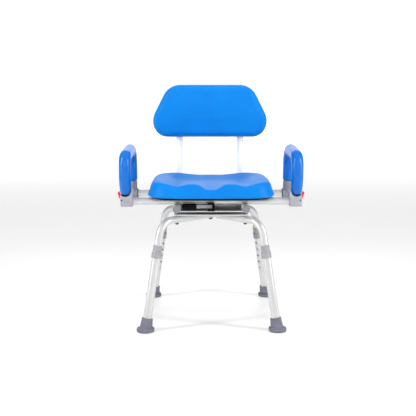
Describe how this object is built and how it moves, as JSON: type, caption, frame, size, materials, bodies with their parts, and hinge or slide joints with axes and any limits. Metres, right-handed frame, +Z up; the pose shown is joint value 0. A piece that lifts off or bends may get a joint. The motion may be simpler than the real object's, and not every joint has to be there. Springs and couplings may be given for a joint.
{
  "type": "padded swivel bath chair",
  "caption": "Bath chair with padded seat, back and flip-up arm loops, turning on a square plate over crossed tube legs that adjust in height.",
  "frame": {"origin": "on the floor, under the swivel axis, at the middle of the footprint", "axes": "+Z up, +Y to the back of the chair, +X to the right as seen from the front"},
  "size_m": [0.634, 0.501, 0.822],
  "materials": {
    "aluminium_tube": "satin",
    "plate_metal": "satin",
    "bolt_steel": "satin",
    "black_metal": "satin",
    "grey_collar_plastic": "satin",
    "grey_plastic": "satin",
    "dark_grey_plastic": "satin",
    "blue_grip_foam": "satin",
    "grey_rubber": "matte",
    "black_plastic": "satin",
    "blue_foam": "satin",
    "red_plastic": "gloss",
    "brass_button": "satin"
  },
  "bodies": {
    "base": {"base_tube_a": "aluminium_tube", "base_tube_b": "aluminium_tube", "upper_collar_front_left": "grey_collar_plastic", "upper_collar_front_right": "grey_collar_plastic", "upper_collar_rear_left": "grey_collar_plastic", "upper_collar_rear_right": "grey_collar_plastic", "lower_swivel_plate": "plate_metal", "swivel_race_lower": "black_metal", "corner_bolt_front_left": "bolt_steel", "corner_bolt_front_right": "bolt_steel", "corner_bolt_rear_left": "bolt_steel", "corner_bolt_rear_right": "bolt_steel", "king_bolt": "bolt_steel"},
    "seat": {"swivel_race_upper": "black_metal", "upper_swivel_plate": "plate_metal", "swivel_lock_housing": "black_plastic", "front_cross_tube": "aluminium_tube", "rear_cross_tube": "aluminium_tube", "side_rail_left": "aluminium_tube", "side_rail_right": "aluminium_tube", "rail_cap_left": "dark_grey_plastic", "rail_cap_right": "dark_grey_plastic", "seat_pan": "black_plastic", "seat_cushion": "blue_foam", "back_shell": "black_plastic", "back_cushion": "blue_foam", "arm_catch_left": "grey_plastic", "arm_catch_right": "grey_plastic", "latch_pin_left": "bolt_steel", "latch_pin_right": "bolt_steel", "hinge_cap_left": "black_plastic", "hinge_cap_right": "black_plastic"},
    "lock_lever": {"swivel_lock_lever": "grey_plastic"},
    "lock_pin": {"swivel_lock_pin": "bolt_steel"},
    "leg_front_left": {"leg_tube_front_left": "aluminium_tube", "leg_collar_front_left": "grey_collar_plastic", "foot_front_left": "grey_rubber"},
    "button_front_left": {"snap_button_front_left": "brass_button"},
    "leg_front_right": {"leg_tube_front_right": "aluminium_tube", "leg_collar_front_right": "grey_collar_plastic", "foot_front_right": "grey_rubber"},
    "button_front_right": {"snap_button_front_right": "brass_button"},
    "leg_rear_left": {"leg_tube_rear_left": "aluminium_tube", "leg_collar_rear_left": "grey_collar_plastic", "foot_rear_left": "grey_rubber"},
    "button_rear_left": {"snap_button_rear_left": "brass_button"},
    "leg_rear_right": {"leg_tube_rear_right": "aluminium_tube", "leg_collar_rear_right": "grey_collar_plastic", "foot_rear_right": "grey_rubber"},
    "button_rear_right": {"snap_button_rear_right": "brass_button"},
    "arm_left": {"arm_hinge_left": "dark_grey_plastic", "arm_core_left": "aluminium_tube", "arm_pad_left": "blue_grip_foam", "arm_plug_left": "black_plastic"},
    "latch_left": {"latch_lever_left": "red_plastic"},
    "arm_right": {"arm_hinge_right": "dark_grey_plastic", "arm_core_right": "aluminium_tube", "arm_pad_right": "blue_grip_foam", "arm_plug_right": "black_plastic"},
    "latch_right": {"latch_lever_right": "red_plastic"}
  },
  "joints": [
    {"name": "seat_swivel", "type": "hinge", "parent": "base", "child": "seat", "pos_m": [0, 0, 0.384], "axis": [0, 0, 1], "continuous": true},
    {"name": "leg_slide_front_left", "type": "slide", "parent": "base", "child": "leg_front_left", "axis": [-0.1449, -0.1449, -0.9788], "range_m": [0, 0.1016], "deforming": ["snap_button_front_left"]},
    {"name": "button_press_front_left", "type": "slide", "parent": "base", "child": "button_front_left", "axis": [-0.7071, -0.7071, 0], "range_m": [0, 0.0045], "stiffness_N_per_m": 900},
    {"name": "leg_slide_front_right", "type": "slide", "parent": "base", "child": "leg_front_right", "axis": [0.1449, -0.1449, -0.9788], "range_m": [0, 0.1016], "deforming": ["snap_button_front_right"]},
    {"name": "button_press_front_right", "type": "slide", "parent": "base", "child": "button_front_right", "axis": [0.7071, -0.7071, 0], "range_m": [0, 0.0045], "stiffness_N_per_m": 900},
    {"name": "leg_slide_rear_left", "type": "slide", "parent": "base", "child": "leg_rear_left", "axis": [-0.1449, 0.1449, -0.9788], "range_m": [0, 0.1016], "deforming": ["snap_button_rear_left"]},
    {"name": "button_press_rear_left", "type": "slide", "parent": "base", "child": "button_rear_left", "axis": [-0.7071, 0.7071, 0], "range_m": [0, 0.0045], "stiffness_N_per_m": 900},
    {"name": "leg_slide_rear_right", "type": "slide", "parent": "base", "child": "leg_rear_right", "axis": [0.1449, 0.1449, -0.9788], "range_m": [0, 0.1016], "deforming": ["snap_button_rear_right"]},
    {"name": "button_press_rear_right", "type": "slide", "parent": "base", "child": "button_rear_right", "axis": [0.7071, 0.7071, 0], "range_m": [0, 0.0045], "stiffness_N_per_m": 900},
    {"name": "lock_lever_swing", "type": "hinge", "parent": "seat", "child": "lock_lever", "pos_m": [0, -0.134, 0.4088], "axis": [0, 0, 1], "range_deg": [0, 30], "stiffness_Nm_per_rad": 0.4},
    {"name": "lock_pin_lift", "type": "slide", "parent": "seat", "child": "lock_pin", "axis": [0, 0, 1], "range_m": [0, 0.007]},
    {"name": "arm_flip_left", "type": "hinge", "parent": "seat", "child": "arm_left", "pos_m": [-0.291, 0.108, 0.424], "axis": [-1, 0, 0], "range_deg": [0, 105]},
    {"name": "latch_left", "type": "hinge", "parent": "seat", "child": "latch_left", "pos_m": [-0.3035, -0.108, 0.4285], "axis": [0, -1, 0], "range_deg": [0, 30], "stiffness_Nm_per_rad": 0.15},
    {"name": "arm_flip_right", "type": "hinge", "parent": "seat", "child": "arm_right", "pos_m": [0.291, 0.108, 0.424], "axis": [-1, 0, 0], "range_deg": [0, 105]},
    {"name": "latch_right", "type": "hinge", "parent": "seat", "child": "latch_right", "pos_m": [0.3035, -0.108, 0.4285], "axis": [0, 1, 0], "range_deg": [0, 30], "stiffness_Nm_per_rad": 0.15}
  ],
  "couplings": [
    {"joint": "lock_pin_lift", "follows": "lock_lever_swing", "m_per_rad": 0.013369}
  ]
}
